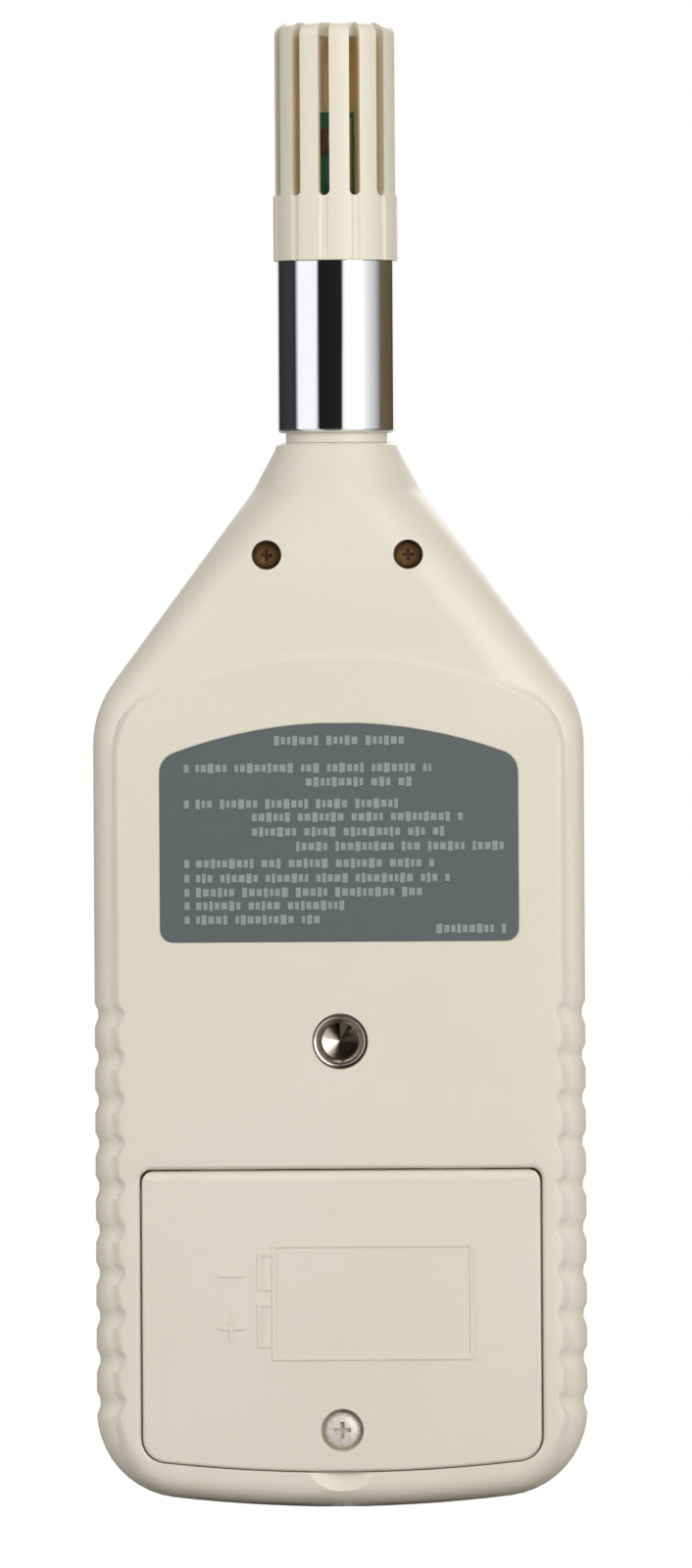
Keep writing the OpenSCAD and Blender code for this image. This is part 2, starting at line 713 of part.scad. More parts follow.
door_head_t = 1.7;

module door_screw() {
    color(metal) difference() {
        union() {
            rod_y(0, door_screw_z, 0.2, door_head_t + 0.2, door_head_r);
            rod_y(0, door_screw_z, door_head_t, door_tip, door_shank_r);
        }
        cross_recess(0, door_screw_z, 0.2, 1.3);
    }
}

// Cross recess in a screw head that faces -Y
module cross_recess(x, z, y, size) {
    for (a = [0, 90]) translate([x, y, z]) rotate([0, a, 0])
        block([-size, -cut, -size / 4], [size, size * 0.7, size / 4]);
}

// Countersunk-style case screw: domed by a step, with its head towards -Y
module case_screw(x, z, seat_y, tip_y) {
    color(dark_metal) difference() {
        union() {
            rod_y(x, z, seat_y - 2, seat_y, case_head_r);
            rod_y(x, z, seat_y - 0.5, tip_y, case_shank_r);
        }
        cross_recess(x, z, seat_y - 2, 1.1);
    }
}

module upper_case_screws() {
    for (x = [-1, 1]) case_screw(x * well_x, well_z, well_seat, well_seat + well_screw_len);
}

module lower_case_screws() {
    for (x = [-1, 1]) case_screw(x * low_screw_x, door_screw_z, floor_y, front_in - 1);
}

module board_screws() {
    for (x = [-1, 1], at = board_screws_at) color(metal) {
        rod_y(x * at[0], at[1], board_back - 1.3, board_back, 1.7);
        rod_y(x * at[0], at[1], board_back - 0.5, front_in - 1, 0.8);
    }
}

// Turns a 2D profile of radius and depth about the bush's axis, depth along +Y
module turn_y() { rotate([-90, 0, 0]) rotate_extrude() children(); }

module tripod_bush() {
    color(metal) turn_y() difference() {
        square([bush_r, bush_len]);
        translate([-cut, -cut]) square([bush_hole_r + cut, bush_len - 1 + cut]);
        polygon([[0, -0.01], [bush_r - 0.45, -0.01], [bush_hole_r, 0.9], [0, 0.9]]);
        for (y = [3, 5.4]) translate([bush_r - 0.4, y]) square([cut, 1]);
    }
}

function label_rows(grow) = plate_rows(label_w / 2 + grow, label_top + grow, label_arch_r + grow,
    label_corner_r + grow, label_bottom - grow, straight, 1.8 + grow, 8, 1);

module rating_label() {
    color(label_grey) slab(-0.1, label_t - 0.1) polygon(outline(label_rows(0)));
}

module probe_collar() {
    bore = stem_r + 0.02;
    soft = 0.5;
    color("silver") translate([0, seam_y, collar_z]) rotate_extrude($fn = 96) difference() {
        translate([bore, 0]) square([collar_r - bore, collar_len]);
        translate([collar_r - soft, -cut]) difference() {
            square([cut, soft + cut]);
            translate([0, soft + cut]) circle(soft, $fn = 32);
        }
    }
}

module sensor_holder() {
    bore = sensor_w / 2 + 1;
    color(cream) translate([0, seam_y, 0]) difference() {
        union() {
            translate([0, 0, tail_z]) cylinder(h = stem_top - tail_z - 1, r = tail_r);
            translate([0, 0, neck_top + slide_fit]) cylinder(h = stem_top - neck_top - slide_fit, r = stem_r);
            translate([0, 0, groove_z]) cylinder(h = groove_h, r = groove_r);
        }
        translate([0, 0, tail_z - cut]) cylinder(h = stem_top - 1.5 - tail_z + cut, r = bore);
        block([-sensor_w / 2 - close_gap, -sensor_t / 2 - close_gap, stem_top - 2],
            [sensor_w / 2 + close_gap, sensor_t / 2 + close_gap, stem_top + cut]);
    }
}

module sensor_cap() {
    flute_r = 1.1;
    color(cap_cream) translate([0, seam_y, 0]) difference() {
        union() {
            translate([0, 0, cap_z]) cylinder(h = band_h, r = band_r);
            translate([0, 0, band_top]) cylinder(h = cap_len - band_h, r = cap_r);
        }
        translate([0, 0, cap_z - cut]) cylinder(h = spigot_len + loose_gap + cut, r = stem_r + slide_fit);
        translate([0, 0, cap_z]) cylinder(h = cap_len - cap_top_t, r = cap_bore_r);
        rotate_extrude() translate([cap_r - cap_edge, cap_top - cap_edge]) difference() {
            square(cap_edge + cut);
            circle(cap_edge);
        }
        for (i = [0:slot_count - 1]) rotate([0, 0, slot_turn - 90 + i * 360 / slot_count]) {
            slot_cutter();
            translate([band_r + flute_r - flute_depth, 0, cap_z - cut]) cylinder(h = band_h + cut, r = flute_r);
        }
    }
}

// One slot of the cap, round at its lower end, open at the top
module slot_cutter() {
    translate([cap_bore_r - 1, 0, band_top + slot_w / 2 - close_gap]) rotate([90, 0, 90])
        linear_extrude(band_r - cap_bore_r + 1 + cut) {
            translate([-slot_w / 2, 0]) square([slot_w, cap_len]);
            circle(slot_w / 2);
        }
}

module sensor_board() {
    color(board_green) translate([0, seam_y, 0])
        block([-sensor_w / 2, -sensor_t / 2, sensor_bottom], [sensor_w / 2, sensor_t / 2, sensor_top]);
}

// Humidity element with its raised rim and sensing film
module humidity_element() {
    face = seam_y - sensor_t / 2;
    color("saddlebrown") difference() {
        block([-1.9, face - 1.2, sensor_top - 5.9], [1.9, face, sensor_top - 2.3]);
        block([-1.3, face - 1.2 - cut, sensor_top - 5.3], [1.3, face - 0.9, sensor_top - 2.9]);
    }
}

module temperature_bead() {
    face = seam_y - sensor_t / 2;
    color("black") translate([0, face - 0.95, sensor_top - 10.6]) {
        sphere(0.9, $fn = 32);
        for (x = [-0.5, 0.5]) translate([x, 0.75, -2.2]) cylinder(h = 2, r = 0.2, $fn = 16);
    }
}

// Smooth curve through hand-picked points, a few steps to each span
function smooth(points, n) =
    [for (i = [0:len(points) - 2], s = [0:n - 1])
        let (a = points[max(0, i - 1)], b = points[i], c = points[i + 1],
            d = points[min(len(points) - 1, i + 2)], t = s / n)
        b + (c - a) * t / 2 + (2 * a - 5 * b + 4 * c - d) * t ^ 2 / 2
            + (3 * b - 3 * c + d - a) * t ^ 3 / 2];

// A round wire at one x, along a path of [y, z] points
module wire(x, path, r) {
    sides = 6;
    route = concat(smooth(path, 3), [path[len(path) - 1]]);
    last = len(route) - 1;
    points = [for (i = [0:last])
        let (ahead = route[min(last, i + 1)] - route[max(0, i - 1)], along = ahead / norm(ahead))
        for (k = [0:sides - 1]) let (a = 360 * k / sides)
            [x + r * cos(a), route[i][0] - r * sin(a) * along[1], route[i][1] + r * sin(a) * along[0]]];
    polyhedron(points, concat(
        [[for (k = [0:sides - 1]) k]],
        [for (i = [0:last - 1], k = [0:sides - 1]) let (k2 = (k + 1) % sides) each [
            [i * sides + k, (i + 1) * sides + k, (i + 1) * sides + k2],
            [i * sides + k, (i + 1) * sides + k2, i * sides + k2]]],
        [[for (k = [sides - 1:-1:0]) last * sides + k]]));
}

connector_z = 46;

module sensor_leads() {
    for (i = [0:3]) color(["red", "yellow", "white", "black"][i])
        wire((i - 1.5) * 2.6 * wire_r, [[seam_y, sensor_bottom], [seam_y, kink_z + 4], [seam_y, tail_z - 3],
            [board_back - 4.2, connector_z + 13], [board_back - 2.2, connector_z + 3]], wire_r);
}

module sensor_connector() {
    color("ivory") block([-4.4, board_back - 4, connector_z - 3], [4.4, board_back, connector_z + 3]);
}

module main_board() {
    corner_top = shoulder_cz - 3;
    color(board_green) difference() {
        slab(board_back, board_front) polygon([[board_half_w, board_bottom], [board_half_w, corner_top],
            [16, board_top], [-16, board_top], [-board_half_w, corner_top], [-board_half_w, board_bottom]]);
        for (x = [-1, 1], at = board_screws_at)
            rod_y(x * at[0], at[1], board_back - cut, board_front + cut, 0.8 + close_gap);
    }
}

// Flat chip with its rows of leads on all four sides
module controller_chip() {
    size = 12;
    translate([6, 0, 14]) {
        color("black") slab(board_back - 1.6, board_back - 0.1) square(size, center = true);
        color("silver") for (turn = [0:90:270], i = [-4:4]) slab(board_back - 0.5, board_back)
            rotate(turn) translate([size / 2 + 0.45, i * 1.1]) square([1.1, 0.4], center = true);
    }
}

module display_window() {
    color([0.75, 0.8, 0.82]) slab(body_d - window_t, body_d) translate([0, window_z])
        round_rect(window_w, window_h, 3);
}

lcd_w = window_w - 4;
lcd_h = window_h - 3;
lcd_back = board_front + 1.7;

module lcd_frame() {
    rim = 2;
    color("dimgray") difference() {
        slab(board_front, front_in - close_gap) translate([0, window_z])
            square([lcd_w + 2 * rim, lcd_h + 2 * rim], center = true);
        slab(board_front - cut, lcd_back + 2.05) translate([0, window_z])
            square([lcd_w + 2 * close_gap, lcd_h + 2 * close_gap], center = true);
        slab(board_front, front_in) translate([0, window_z]) square([lcd_w - 2, lcd_h - 2], center = true);
    }
}

module lcd_glass() {
    color([0.62, 0.68, 0.6]) slab(lcd_back, lcd_back + 2) translate([0, window_z])
        square([lcd_w, lcd_h], center = true);
}

module lcd_backlight() {
    color("white") slab(board_front, lcd_back - slide_fit) translate([0, window_z])
        square([lcd_w, lcd_h - 6], center = true);
}

module zebra_strips() {
    for (s = [-1, 1]) color("darkgray") slab(board_front, lcd_back - slide_fit)
        translate([0, window_z + s * (lcd_h / 2 - 1.4)]) square([lcd_w - 4, 2], center = true);
}

stud_z = 0.24 * battery_w;
stud_h = 0.09 * battery_w;
socket_r = 0.16 * battery_w;

// Nine-volt block with its two studs towards -X
module battery() {
    mid_y = battery_y + battery_t / 2;
    color("darkgoldenrod") translate([battery_left + battery_l / 2, mid_y, battery_z]) rotate([90, 0, 90])
        translate([0, 0, -battery_l / 2]) linear_extrude(battery_l) round_rect(battery_t, battery_w, 2);
    color(metal) {
        rod_x(mid_y, battery_z - stud_z, battery_left - stud_h, battery_left + 0.5, 2.8);
        difference() {
            rod_x(mid_y, battery_z + stud_z, battery_left - stud_h, battery_left + 0.5, socket_r);
            rod_x(mid_y, battery_z + stud_z, battery_left - stud_h - cut, battery_left, 3.2);
        }
    }
}

// Snap connector over the battery's studs
snap_w = 0.87 * battery_w;
snap_t = 0.11 * battery_w;
snap_gap = stud_h + close_gap;

module battery_snap() {
    mid_y = battery_y + battery_t / 2;
    back = battery_left - snap_gap;
    color([0.12, 0.12, 0.12]) translate([back - snap_t, mid_y, battery_z]) rotate([90, 0, 90])
        linear_extrude(snap_t) round_rect(0.72 * battery_t, snap_w, snap_t);
    color(metal) {
        rod_x(mid_y, battery_z + stud_z, back - 0.5, battery_left - 0.4, 3);
        difference() {
            rod_x(mid_y, battery_z - stud_z, back - 0.5, battery_left - 0.3, 4);
            rod_x(mid_y, battery_z - stud_z, back, battery_left, 2.95);
        }
    }
}

// Route of a battery lead: out of the snap, through the notch, to its pad on the board
function lead_route(y) = let (snap_end = battery_z + snap_w / 2 + close_gap,
        board_side = board_back - lead_r - close_gap)
    [[y, snap_end], [y, snap_end + lead_r], [y, snap_end + 5 * lead_r], [floor_y - 3, box_top - 2],
        [floor_y - 2, box_top + box_wall + 2], [floor_y - 1, box_top + 7], [board_side - lead_r, box_top + 9.5],
        [board_side, box_top + 12], [board_side, box_top + 14]];

lead_x = battery_left - snap_gap - snap_t / 2;

module battery_lead_red() {
    color("red") wire(lead_x - 1.1 * lead_r, lead_route(battery_y + battery_t / 2), lead_r);
}

module battery_lead_black() {
    color("black") wire(lead_x + 1.1 * lead_r, lead_route(battery_y + battery_t / 2), lead_r);
}

module battery_foam() {
    reach = 0.28 * battery_l;
    color("gray") block([1 - reach, door_t, battery_z - battery_w / 3],
        [1 + reach, door_t + foam_t, battery_z + battery_w / 3]);
}

rear_shell();
front_shell();
battery_door();
door_screw();
upper_case_screws();
lower_case_screws();
tripod_bush();
rating_label();
sensor_cap();
probe_collar();
sensor_holder();
sensor_board();
humidity_element();
temperature_bead();
sensor_leads();
sensor_connector();
main_board();
board_screws();
controller_chip();
tact_switches();
display_window();
lcd_frame();
lcd_glass();
lcd_backlight();
zebra_strips();
battery();
battery_snap();
battery_lead_red();
battery_lead_black();
battery_foam();
key_power();
key_light();
key_max_min();
key_hold();
key_unit();
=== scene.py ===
"""Hand-held humidity meter, dressed: moulded housing, slotted cap, plated collar and label."""
import math

import bmesh
import bpy
from mathutils import Matrix, Vector


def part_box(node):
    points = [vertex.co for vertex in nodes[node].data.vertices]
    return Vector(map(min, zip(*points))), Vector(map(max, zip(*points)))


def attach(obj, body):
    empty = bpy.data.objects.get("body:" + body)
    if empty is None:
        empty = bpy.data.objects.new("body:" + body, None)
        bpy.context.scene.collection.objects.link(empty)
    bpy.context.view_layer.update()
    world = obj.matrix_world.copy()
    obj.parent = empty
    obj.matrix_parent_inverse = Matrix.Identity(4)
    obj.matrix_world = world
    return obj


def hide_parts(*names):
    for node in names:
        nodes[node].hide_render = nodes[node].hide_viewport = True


MM = 0.001
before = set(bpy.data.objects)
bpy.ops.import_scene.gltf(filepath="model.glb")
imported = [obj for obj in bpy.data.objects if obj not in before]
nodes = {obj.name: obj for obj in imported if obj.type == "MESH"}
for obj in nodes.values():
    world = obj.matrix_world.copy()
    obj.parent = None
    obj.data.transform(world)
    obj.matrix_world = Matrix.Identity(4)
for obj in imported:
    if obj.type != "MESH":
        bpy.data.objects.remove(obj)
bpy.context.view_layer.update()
scene = bpy.context.scene
scene.view_settings.view_transform = "Standard"

# The photograph's frame, and the size that one of its pixels has at the object
PHOTO_H = 1600
PIXEL = 0.14 * MM
EYE_ROW = 800
BUSH_ROW = 1062
CAMERA_AWAY = 3.0
CAMERA_ASIDE = 1.05 * MM
CAMERA_ROLL = math.radians(-0.34)
SENSOR = 36.0

# Places taken from the frame. The cap's lower band stands a little proud of its slotted part
BAND_PROUD = 0.3 * MM
cap_low, cap_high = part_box("sensor_cap")
AXIS_Y = (cap_low.y + cap_high.y) / 2
CAP_R = (cap_high.x - cap_low.x) / 2 - BAND_PROUD
FOOT_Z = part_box("rear_shell")[0].z


def colour(hex_code):
    """The linear colour of an sRGB hex value, with its alpha."""
    parts = [int(hex_code[i:i + 2], 16) / 255 for i in (1, 3, 5)]
    linear = [p / 12.92 if p <= 0.04045 else ((p + 0.055) / 1.055) ** 2.4 for p in parts]
    return (*linear, 1.0)


def add(tree, kind, inputs=(), stops=(), **settings):
    """Adds a node with its settings, a ramp's stops, and the values or links of its inputs."""
    node = tree.nodes.new("ShaderNode" + kind)
    for i, (position, hex_code) in enumerate(stops):
        ramp = node.color_ramp.elements
        element = ramp[i] if i < 2 else ramp.new(position)
        element.position = position
        element.color = colour(hex_code)
    for name, value in settings.items():
        setattr(node, name, value)
    for socket, value in dict(inputs).items():
        if isinstance(value, bpy.types.NodeSocket):
            tree.links.new(value, node.inputs[socket])
        else:
            node.inputs[socket].default_value = value
    return node


def new_material(name):
    """An empty node material with its output, its surface shader and its place in object space."""
    material = bpy.data.materials.new(name)
    material.use_nodes = True
    tree = material.node_tree
    tree.nodes.clear()
    surface = add(tree, "BsdfPrincipled")
    add(tree, "OutputMaterial", {"Surface": surface.outputs[0]})
    place = add(tree, "TexCoord").outputs["Object"]
    return material, tree, surface, place


# ABS from a spark-eroded mould: its fine grain spreads the highlights, and its tone drifts a
# little over a palm's width. The real grain, about 0.1 mm, is too fine to show, so it is drawn
# three to five times as coarse
ABS_IOR = 1.53
ABS_DRIFT = 38 * MM
ABS_GRAIN_DEPTH = 0.02 * MM
ABS_GRAIN_STRENGTH = 0.35
ABS_SMOOTHER, ABS_ROUGHER = 0.05, 0.06


def moulded_abs(name, tone, low_tone, grain_mm, rough):
    """Moulded ABS between two near tones, with a grain in mm that moves its gloss and its bump."""
    material, tree, surface, place = new_material(name)
    cloud = add(tree, "TexNoise", {"Vector": place, "Scale": 1 / ABS_DRIFT, "Detail": 2.0})
    shade = add(tree, "ValToRGB", {"Fac": cloud.outputs["Fac"]},
                stops=[(0.3, low_tone), (0.7, tone)])
    grain = add(tree, "TexNoise", {"Vector": place, "Scale": 1 / (grain_mm * MM), "Detail": 3.0})
    gloss = add(tree, "MapRange", {"Value": grain.outputs["Fac"], "To Min": rough - ABS_SMOOTHER,
                                   "To Max": rough + ABS_ROUGHER})
    bump = add(tree, "Bump", {"Height": grain.outputs["Fac"], "Strength": ABS_GRAIN_STRENGTH,
                              "Distance": ABS_GRAIN_DEPTH})
    for socket, value in (("Base Color", shade.outputs[0]), ("Roughness", gloss.outputs[0]),
                          ("Normal", bump.outputs[0])):
        tree.links.new(value, surface.inputs[socket])
    surface.inputs["IOR"].default_value = ABS_IOR
    return material


# How far in from the cap's skin the painted glow in its slots is full, and where it begins, and how
# far below the cap's top it is full and where it ends. The glow is a warm tint that stands in for
# light carried through the plastic and bounced between the slot walls
SLOT_GLOW_FULL, SLOT_GLOW_START = 1.25 * MM, 0.25 * MM
LID_GLOW_FULL, LID_GLOW_END = 2.4 * MM, 1.8 * MM


def abs_with_painted_slot_glow(name, tone, painted_glow_tone, grain_mm, rough):
    """ABS with a painted warm glow in the cap's slots, for light carried through the plastic, by
    the distance from its axis, but not on its top.
    """
    material = moulded_abs(name, tone, tone, grain_mm, rough)
    tree = material.node_tree
    surface = next(node for node in tree.nodes if node.type == "BSDF_PRINCIPLED")
    place = add(tree, "TexCoord").outputs["Object"]
    centred = add(tree, "Mapping",
                  {"Vector": place, "Location": (0, -AXIS_Y, 0), "Scale": (1, 1, 0)})
    reach = add(tree, "VectorMath", {0: centred.outputs[0]}, operation="LENGTH")
    depth = add(tree, "MapRange", {"Value": reach.outputs["Value"],
                                   "From Min": CAP_R - SLOT_GLOW_FULL,
                                   "From Max": CAP_R - SLOT_GLOW_START})
    height = add(tree, "SeparateXYZ", {"Vector": place}).outputs["Z"]
    lid = add(tree, "MapRange", {"Value": height, "From Min": cap_high.z - LID_GLOW_FULL,
                                 "From Max": cap_high.z - LID_GLOW_END})
    plain = add(tree, "Math", {0: depth.outputs[0], 1: lid.outputs[0]}, operation="MAXIMUM")
    # Painted light: the slot walls take a warm ochre glow, for light carried through the plastic
    shade = add(tree, "ValToRGB", {"Fac": plain.outputs[0]}, stops=[(0.0, painted_glow_tone), (1.0, tone)])
    tree.links.new(shade.outputs[0], surface.inputs["Base Color"])
    return material


# Bright plate on brass: nearly a mirror, with faint lines along the way that it was drawn, which
# are also drawn coarser than life to show at all
DRAWN_STRETCH = 0.04
DRAWN_STRENGTH = 0.2


def bright_plate(name, tone, rough, line_mm, line_depth_mm):
    """Polished plate with drawing lines along Z, of a spacing and a depth in mm."""
    material, tree, surface, place = new_material(name)
    drawn = add(tree, "Mapping", {"Vector": place, "Scale": (1, 1, DRAWN_STRETCH)})
    lines = add(tree, "TexNoise",
                {"Vector": drawn.outputs[0], "Scale": 1 / (line_mm * MM), "Detail": 2.0})
    bump = add(tree, "Bump", {"Height": lines.outputs["Fac"], "Strength": DRAWN_STRENGTH,
                              "Distance": line_depth_mm * MM})
    tree.links.new(bump.outputs[0], surface.inputs["Normal"])
    surface.inputs["Base Color"].default_value = colour(tone)
    surface.inputs["Metallic"].default_value = 1.0
    surface.inputs["Roughness"].default_value = rough
    return material


# Small and inner finishes: the mottle of a coat, a filler or a weave, at its real size where that
# shows and else a few times as coarse
MOTTLE_STRENGTH = 0.4


def mottled(name, tone, low_tone, mottle_mm, rough, metallic=0.0, bump_mm=0.01):
    """A finish with a fine mottle between two near tones, of a size and a depth in mm."""
    material, tree, surface, place = new_material(name)
    mottle = add(tree, "TexNoise", {"Vector": place, "Scale": 1 / (mottle_mm * MM), "Detail": 3.0})
    shade = add(tree, "ValToRGB", {"Fac": mottle.outputs["Fac"]},
                stops=[(0.35, low_tone), (0.65, tone)])
    bump = add(tree, "Bump", {"Height": mottle.outputs["Fac"], "Strength": MOTTLE_STRENGTH,
                              "Distance": bump_mm * MM})
    tree.links.new(shade.outputs[0], surface.inputs["Base Color"])
    tree.links.new(bump.outputs[0], surface.inputs["Normal"])
    surface.inputs["Roughness"].default_value = rough
    surface.inputs["Metallic"].default_value = metallic
    return material


def clear_acrylic(name, tone, rough, ior):
    """Clear moulded acrylic."""
    material, _, surface, _ = new_material(name)
    surface.inputs["Base Color"].default_value = colour(tone)
    surface.inputs["Roughness"].default_value = rough
    surface.inputs["IOR"].default_value = ior
    surface.inputs["Transmission Weight"].default_value = 1.0
    return material


# The finishes. A mottled one is given by its two tones, its mottle in mm and its roughness

# Housing, door and stem: cream ABS, half matt
HOUSING_ABS = moulded_abs("abs_moulded_cream", "#DFD8C7", "#DBD4C2", grain_mm=0.45, rough=0.42)
# Cap: paler ABS from a smoother mould, a little glossier, with an ochre glow painted into its slots
# for light carried through the plastic
CAP_ABS = abs_with_painted_slot_glow("abs_moulded_pale", "#E2DBC8", "#E0C48A", grain_mm=0.3, rough=0.36)
# Collar: drawn brass tube under bright chromium, a cold and clean mirror
CHROME = bright_plate("chromium_plate", "#F2F3F6", 0.04, line_mm=0.4, line_depth_mm=0.0006)
# Tripod insert: turned brass under nickel, warmer and softer than chromium
NICKEL = bright_plate("nickel_plate", "#D2C7B8", 0.17, line_mm=0.15, line_depth_mm=0.001)
# Depth of the insert's bore: painted shade, a dull dark brown, nearly black
BORE_PAINTED_SHADE = mottled("bore_painted_shade", "#3A2E22", "#2C231A", 0.5, 0.5, metallic=0.3)
# Door and board screws: steel in dull zinc, pale grey with broad highlights and hardly a mirror
SCREW_ZINC = mottled("zinc_plate_dull", "#E8E1D6", "#CFC7BB", 0.45, 0.42, metallic=0.15)
# Case screws: steel in a brown oxide, which shows warm at the bottom of its wells
SCREW_BROWN = mottled("steel_brown_oxide", "#8F6C42", "#745430", 0.6, 0.42, metallic=0.15)
# Label: grey polyester film with a matt coat, flat and even
LABEL_FILM = mottled("polyester_film_grey", "#595F5F", "#555B5B", 0.4, 0.55, bump_mm=0.003)
# Print on the label: pale screen ink, thin and as matt as the film
LABEL_INK = mottled("screen_ink_pale", "#929797", "#8A8F8F", 0.3, 0.5, bump_mm=0.002)
# Circuit boards: green solder resist over woven glass, glossy with the weave just felt
BOARD_GREEN = mottled("solder_resist_green", "#1F6A4A", "#1A5C40", 0.7, 0.3)
# Humidity element: polymer coat on a small alumina plate, brown and satin
SENSOR_BROWN = mottled("polymer_coat_brown", "#5A3B24", "#4A2F1C", 0.3, 0.55)
# Temperature bead: dipped epoxy, brown and glossy
BEAD_BROWN = mottled("epoxy_dip_brown", "#5B3A2A", "#4B2E20", 0.4, 0.25)
# Display frame: dark moulded nylon, half matt
NYLON_DARK = mottled("nylon_dark", "#3C4040", "#343838", 0.5, 0.5)
# Plug and header: ivory nylon with a soft shine
NYLON_IVORY = mottled("nylon_ivory", "#E4DEC8", "#DCD5BD", 0.5, 0.4)
# Wires: extruded PVC with a waxy shine
WIRE_GREY = mottled("pvc_wire_grey", "#8E9090", "#848686", 0.5, 0.35)
WIRE_RED = mottled("pvc_wire_red", "#B3261E", "#A3201A", 0.5, 0.35)
WIRE_BLACK = mottled("pvc_wire_black", "#1E1E1F", "#18181A", 0.5, 0.35)
# Chip and switch bodies: moulded black epoxy, dull from its filler
CHIP_BLACK = mottled("epoxy_black", "#26272A", "#1F2022", 0.3, 0.55)
# Window: hard-coated acrylic, unseen but for its reflections
WINDOW = clear_acrylic("acrylic_clear", "#F2F6F6", 0.03, 1.49)
# Display: polished glass over a grey-green liquid crystal, and its segments when they are off
LCD_GREY = mottled("lcd_glass_grey", "#9BA394", "#949C8D", 6.0, 0.2)
LCD_SEGMENT = mottled("lcd_segment_off", "#879081", "#818A7B", 6.0, 0.2)
# Comb and pads of the sensor board: a flash of gold on copper, soft and warm
GOLD_FINGER = mottled("gold_flash", "#C9A24B", "#B8923F", 0.3, 0.3, metallic=0.9)
# Backlight: milky acrylic, even white
DIFFUSER = mottled("acrylic_diffuser_white", "#EDEDEA", "#E6E6E2", 0.8, 0.5)
# Zebra strips: carbon-filled silicone, dark and rubbery
ZEBRA = mottled("silicone_dark", "#3A3A3C", "#303032", 0.2, 0.7)
# Battery: printed steel jacket, dark and glossy
BATTERY_JACKET = mottled("steel_jacket_printed", "#2B2C30", "#252629", 1.0, 0.3)
# Battery pad: open-cell foam, whose pores take all shine
FOAM_DARK = mottled("foam_open_cell", "#3A3B3D", "#1E1F20", 0.35, 0.9, bump_mm=0.15)
# Keys: moulded ABS in grey and red, half matt
KEY_GREY = mottled("abs_key_grey", "#5A5F60", "#555A5B", 0.25, 0.5)
KEY_RED = mottled("abs_key_red", "#B23A2E", "#A8352A", 0.25, 0.5)

FINISHES = {
    "rear_shell": HOUSING_ABS, "front_shell": HOUSING_ABS, "battery_door": HOUSING_ABS,
    "door_screw": SCREW_ZINC, "upper_case_screws": SCREW_BROWN, "lower_case_screws": SCREW_BROWN,
    "tripod_bush": NICKEL, "rating_label": LABEL_FILM, "sensor_cap": CAP_ABS,
    "probe_collar": CHROME, "sensor_holder": HOUSING_ABS, "sensor_board": BOARD_GREEN,
    "humidity_element": SENSOR_BROWN, "temperature_bead": BEAD_BROWN, "sensor_leads": WIRE_GREY,
    "sensor_connector": NYLON_IVORY, "main_board": BOARD_GREEN, "board_screws": SCREW_ZINC,
    "controller_chip": CHIP_BLACK, "tact_switches": CHIP_BLACK, "display_window": WINDOW,
    "lcd_frame": NYLON_DARK, "lcd_glass": LCD_GREY, "lcd_backlight": DIFFUSER,
    "zebra_strips": ZEBRA, "battery": BATTERY_JACKET, "battery_snap": WIRE_BLACK,
    "battery_lead_red": WIRE_RED, "battery_lead_black": WIRE_BLACK, "battery_foam": FOAM_DARK,
    "key_power": KEY_RED, "key_light": KEY_GREY, "key_max_min": KEY_GREY, "key_hold": KEY_GREY,
    "key_unit": KEY_GREY,
}

# Nodes whose real edges have a small moulded or pressed rounding, with its width in mm
ROUNDED = {
    "key_power": 0.45, "key_light": 0.45, "key_max_min": 0.45, "key_hold": 0.45, "key_unit": 0.45,
    "battery": 0.5, "battery_snap": 0.3, "lcd_frame": 0.2, "sensor_connector": 0.2,
    "battery_foam": 0.4, "display_window": 0.15, "humidity_element": 0.1, "sensor_board": 0.06,
    "main_board": 0.06,
}

# Faces that meet at less than the smooth angle, in degrees, are one curved surface, and only
# edges past the rounded angle get a rounding
SMOOTH_ANGLE = 32
ROUNDED_ANGLE = 40
CORNER_REACH = 0.01 * MM


def dress(piece, material):
    """Gives a piece one material."""
    piece.data.materials.clear()
    piece.data.materials.append(material)


def soften(piece, angle=SMOOTH_ANGLE, edge_mm=0):
    """Shades a piece smoothly, but for its real edges, which a width in mm rounds over."""
    piece.data.shade_smooth()
    weld = piece.modifiers.new("join_corners", "WELD")
    weld.merge_threshold = CORNER_REACH
    if edge_mm:
        round_over = piece.modifiers.new("round_edges", "BEVEL")
        round_over.width = edge_mm * MM
        round_over.segments = 3
        round_over.limit_method = "ANGLE"
        round_over.angle_limit = math.radians(ROUNDED_ANGLE)
    else:
        split = piece.modifiers.new("keep_edges", "EDGE_SPLIT")
        split.split_angle = math.radians(angle)
        split.use_edge_sharp = False
    normal = piece.modifiers.new("even_shading", "WEIGHTED_NORMAL")
    normal.keep_sharp = True


def dress_cad_nodes():
    """Gives each CAD node its finish and its edges."""
    for name, material in FINISHES.items():
        dress(nodes[name], material)
        soften(nodes[name], edge_mm=ROUNDED.get(name, 0))


def new_piece(name, mesh, material, body="housing", angle=SMOOTH_ANGLE):
    """Turns a bmesh into a piece that rides on a body."""
    bmesh.ops.recalc_face_normals(mesh, faces=mesh.faces)
    data = bpy.data.meshes.new(name)
    mesh.to_mesh(data)
    mesh.free()
    piece = bpy.data.objects.new(name, data)
    scene.collection.objects.link(piece)
    dress(piece, material)
    soften(piece, angle)
    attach(piece, body)
    return piece


def lathe_y(mesh, x, z, profile, steps=48):
    """Spins a profile of radii and heights about a line along Y, and closes both ends."""
    path = [mesh.verts.new((x + radius, y, z)) for radius, y in profile]
    edges = [mesh.edges.new(pair) for pair in zip(path, path[1:])]
    bmesh.ops.spin(mesh, geom=path + edges, cent=(x, 0, z), axis=(0, 1, 0), angle=2 * math.pi,
                   steps=steps, use_merge=True)
    bmesh.ops.holes_fill(mesh, edges=[edge for edge in mesh.edges if edge.is_boundary])


